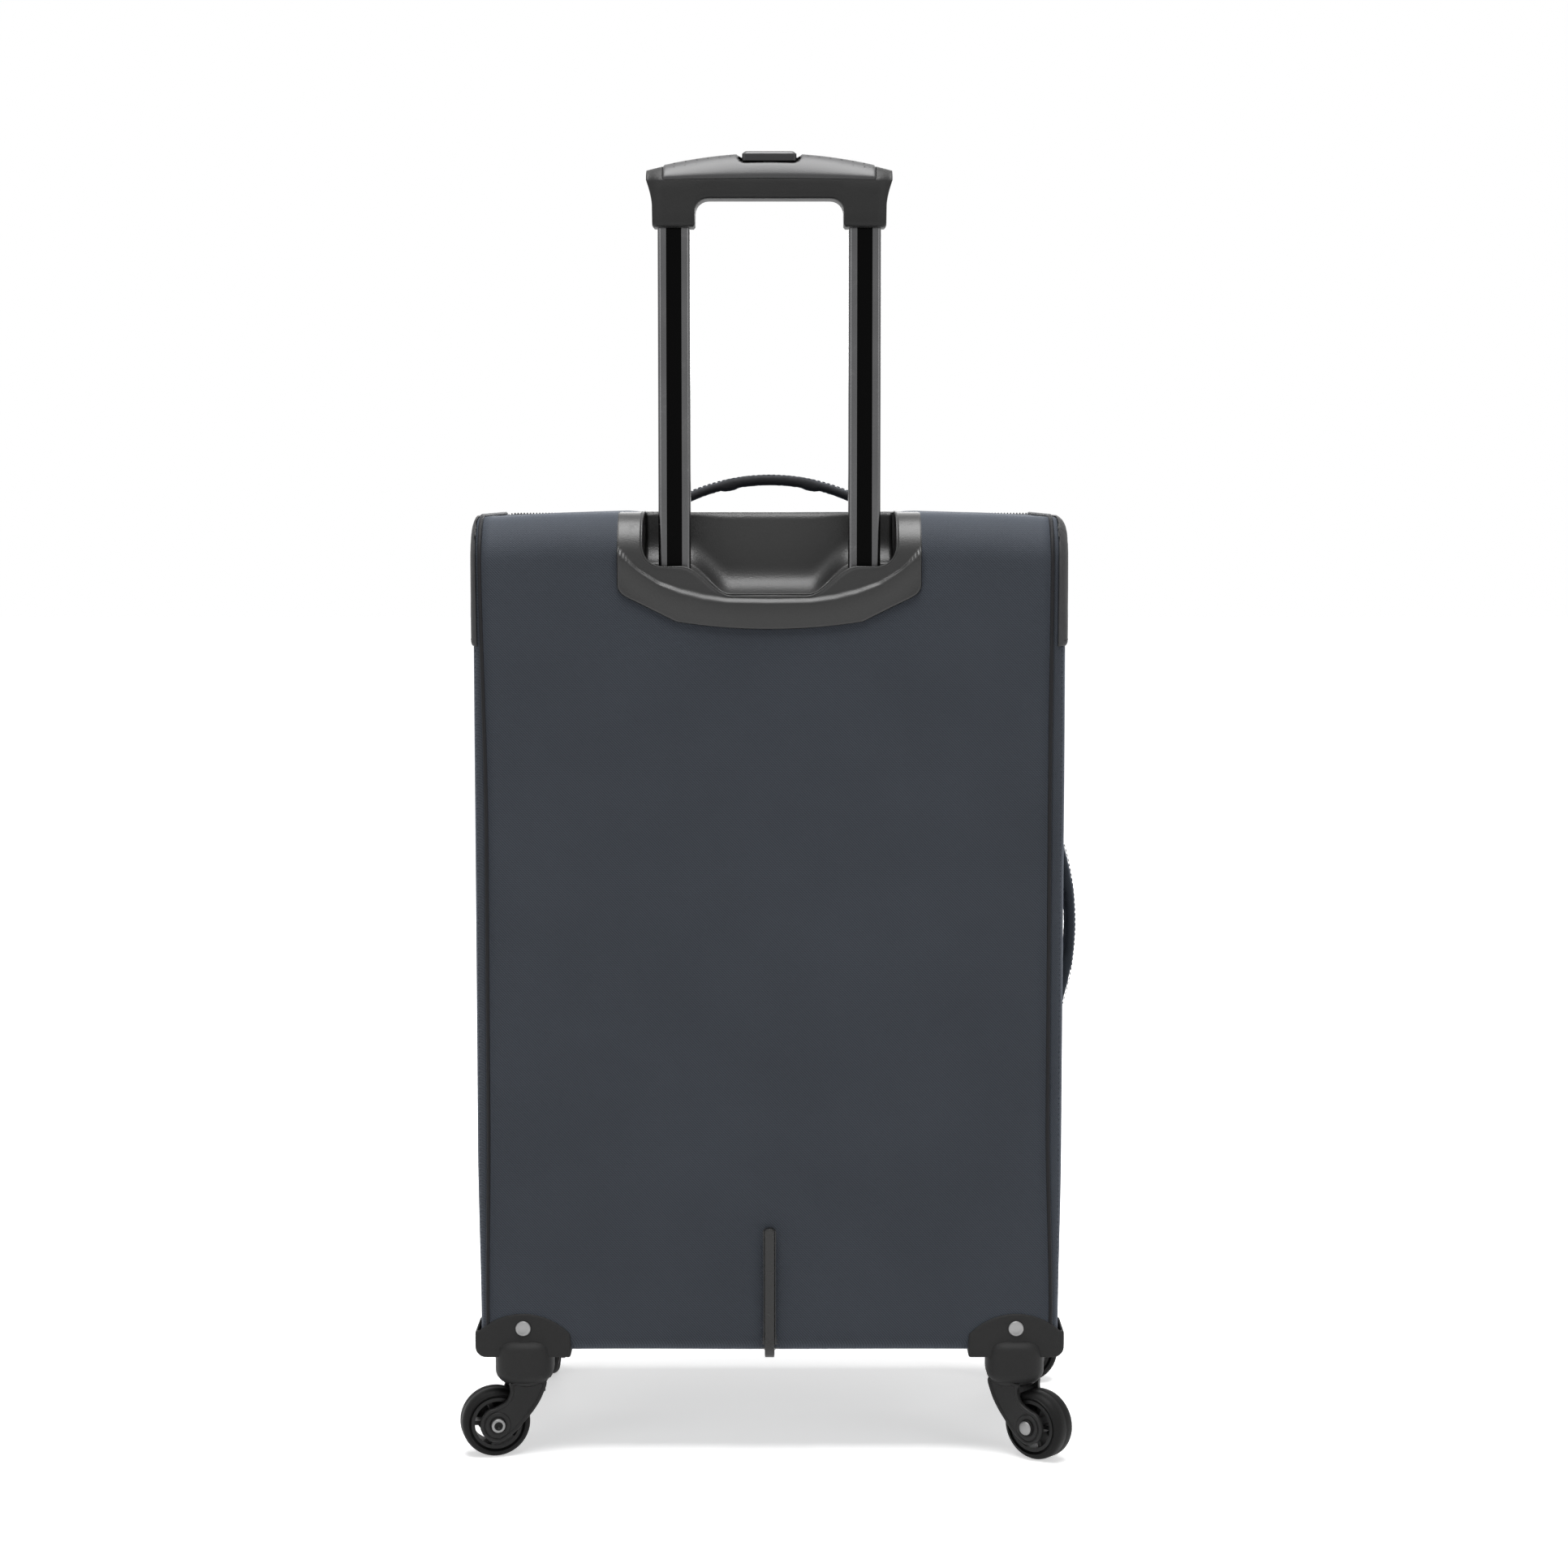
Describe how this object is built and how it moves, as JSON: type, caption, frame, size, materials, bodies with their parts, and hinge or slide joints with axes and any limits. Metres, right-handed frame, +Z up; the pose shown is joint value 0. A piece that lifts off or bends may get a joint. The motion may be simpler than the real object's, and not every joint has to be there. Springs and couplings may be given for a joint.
{
  "type": "softside upright suitcase",
  "caption": "Upright fabric suitcase with a telescoping pull handle, swivel casters, carry handles, a hinged zipped lid and front pockets.",
  "frame": {"origin": "on the floor under the middle of the whole footprint, casters included", "axes": "+Z up, -Y towards the back with the pull handle, +Y towards the lid and pockets, +X towards the side carry handle"},
  "size_m": [0.436, 0.2775, 0.9011],
  "materials": {
    "body_fabric": "navy-grey twill with a satin sheen",
    "twin_wall_board": "fluted twin-wall sheet",
    "moulded_plastic": "fine-grained black moulding",
    "lining_fabric": "grey woven lining",
    "spring_steel": "drawn steel",
    "piping_cord": "black piping",
    "trim_leather": "black grained coated fabric",
    "cup_plastic": "satin black moulding",
    "pole_aluminium": "black anodised",
    "handle_fabric": "black padded fabric",
    "skid_plastic": "black, half gloss",
    "rivet_steel": "dull zinc",
    "webbing": "elastic webbing",
    "zip_tape": "black zip tape with its coil",
    "grip_plastic": "fine-grained dark grey",
    "grip_rubber": "soft grey, fine-grained",
    "button_plastic": "half gloss black",
    "zip_metal": "black-plated casting",
    "fork_plastic": "satin black moulding",
    "hub_plastic": "black moulding",
    "tyre_rubber": "smooth black polyurethane"
  },
  "bodies": {
    "case": {"fabric_wrap": "body_fabric", "side_skin_left": "body_fabric", "side_skin_right": "body_fabric", "back_board": "twin_wall_board", "top_board": "twin_wall_board", "side_boards": "twin_wall_board", "base_tray": "moulded_plastic", "lining": "lining_fabric", "rim_hoop": "spring_steel", "piping": "piping_cord", "corner_trims": "trim_leather", "trolley_cup": "cup_plastic", "outer_tubes": "pole_aluminium", "tube_foot": "moulded_plastic", "top_handle": "handle_fabric", "side_handle": "body_fabric", "handle_anchors": "moulded_plastic", "skid": "skid_plastic", "corner_brackets": "moulded_plastic", "bracket_rivets": "rivet_steel", "packing_straps": "webbing", "strap_buckles": "moulded_plastic", "zip_tape_body": "zip_tape"},
    "lower_stage": {"middle_tubes": "pole_aluminium", "middle_collars": "cup_plastic"},
    "upper_stage": {"inner_tubes": "pole_aluminium", "inner_shoes": "cup_plastic", "trolley_grip": "grip_plastic", "grip_pad": "grip_rubber", "button_spring": "spring_steel"},
    "release": {"push_rods": "spring_steel", "release_button": "button_plastic"},
    "lid": {"lid_panel": "body_fabric", "lid_tape": "zip_tape", "lid_piping": "piping_cord", "lower_pocket": "body_fabric", "upper_pocket": "body_fabric"},
    "main_slider": {"main_slider": "zip_metal"},
    "main_puller": {"main_puller": "zip_metal"},
    "lower_pocket_slider": {"lower_pocket_slider": "zip_metal"},
    "lower_pocket_puller": {"lower_pocket_puller": "zip_metal"},
    "upper_pocket_slider": {"upper_pocket_slider": "zip_metal"},
    "upper_pocket_puller": {"upper_pocket_puller": "zip_metal"},
    "swivel_near_left": {"fork_near_left": "fork_plastic", "pins_near_left": "rivet_steel"},
    "wheel_near_left": {"hub_near_left": "hub_plastic", "tyre_near_left": "tyre_rubber"},
    "swivel_near_right": {"fork_near_right": "fork_plastic", "pins_near_right": "rivet_steel"},
    "wheel_near_right": {"hub_near_right": "hub_plastic", "tyre_near_right": "tyre_rubber"},
    "swivel_far_left": {"fork_far_left": "fork_plastic", "pins_far_left": "rivet_steel"},
    "wheel_far_left": {"hub_far_left": "hub_plastic", "tyre_far_left": "tyre_rubber"},
    "swivel_far_right": {"fork_far_right": "fork_plastic", "pins_far_right": "rivet_steel"},
    "wheel_far_right": {"hub_far_right": "hub_plastic", "tyre_far_right": "tyre_rubber"}
  },
  "joints": [
    {"name": "lower_stage_slide", "type": "slide", "parent": "case", "child": "lower_stage", "axis": [0, 0, 1], "range_m": [0, 0.17]},
    {"name": "upper_stage_slide", "type": "slide", "parent": "lower_stage", "child": "upper_stage", "axis": [0, 0, 1], "range_m": [-0.246, 0]},
    {"name": "release_press", "type": "slide", "parent": "upper_stage", "child": "release", "axis": [0, 0, -1], "range_m": [0, 0.004], "stiffness_N_per_m": 900, "springref_m": -0.003, "deforming": ["button_spring"]},
    {"name": "lid_hinge", "type": "hinge", "parent": "case", "child": "lid", "pos_m": [-0.205, 0.10762, 0.376], "axis": [0, 0, 1], "range_deg": [0, 165]},
    {"name": "main_slider_slide", "type": "slide", "parent": "case", "child": "main_slider", "axis": [0, 0, 1], "range_m": [0, 0.43]},
    {"name": "main_puller_swing", "type": "hinge", "parent": "main_slider", "child": "main_puller", "pos_m": [0.2076, 0.10762, 0.166], "axis": [0, -1, 0], "range_deg": [0, 165]},
    {"name": "lower_pocket_slider_slide", "type": "slide", "parent": "lid", "child": "lower_pocket_slider", "axis": [-1, 0, 0], "range_m": [0, 0.24]},
    {"name": "lower_pocket_puller_swing", "type": "hinge", "parent": "lower_pocket_slider", "child": "lower_pocket_puller", "pos_m": [0.12, 0.13672, 0.412], "axis": [1, 0, 0], "range_deg": [0, 165]},
    {"name": "upper_pocket_slider_slide", "type": "slide", "parent": "lid", "child": "upper_pocket_slider", "axis": [-1, 0, 0], "range_m": [0, 0.24]},
    {"name": "upper_pocket_puller_swing", "type": "hinge", "parent": "upper_pocket_slider", "child": "upper_pocket_puller", "pos_m": [0.12, 0.13472, 0.612], "axis": [1, 0, 0], "range_deg": [0, 165]},
    {"name": "swivel_near_left", "type": "hinge", "parent": "case", "child": "swivel_near_left", "pos_m": [-0.171, -0.10438, 0.076], "axis": [0, 0, 1], "continuous": true},
    {"name": "roll_near_left", "type": "hinge", "parent": "swivel_near_left", "child": "wheel_near_left", "pos_m": [-0.19195, -0.10921, 0.024], "axis": [0.225, -0.9744, 0], "continuous": true},
    {"name": "swivel_near_right", "type": "hinge", "parent": "case", "child": "swivel_near_right", "pos_m": [0.171, -0.10438, 0.076], "axis": [0, 0, 1], "continuous": true},
    {"name": "roll_near_right", "type": "hinge", "parent": "swivel_near_right", "child": "wheel_near_right", "pos_m": [0.18747, -0.1182, 0.024], "axis": [0.6428, 0.766, 0], "continuous": true},
    {"name": "swivel_far_left", "type": "hinge", "parent": "case", "child": "swivel_far_left", "pos_m": [-0.171, 0.08562, 0.076], "axis": [0, 0, 1], "continuous": true},
    {"name": "roll_far_left", "type": "hinge", "parent": "swivel_far_left", "child": "wheel_far_left", "pos_m": [-0.171, 0.10712, 0.024], "axis": [-1, 0, 0], "continuous": true},
    {"name": "swivel_far_right", "type": "hinge", "parent": "case", "child": "swivel_far_right", "pos_m": [0.171, 0.08562, 0.076], "axis": [0, 0, 1], "continuous": true},
    {"name": "roll_far_right", "type": "hinge", "parent": "swivel_far_right", "child": "wheel_far_right", "pos_m": [0.1925, 0.08562, 0.024], "axis": [0, 1, 0], "continuous": true}
  ]
}
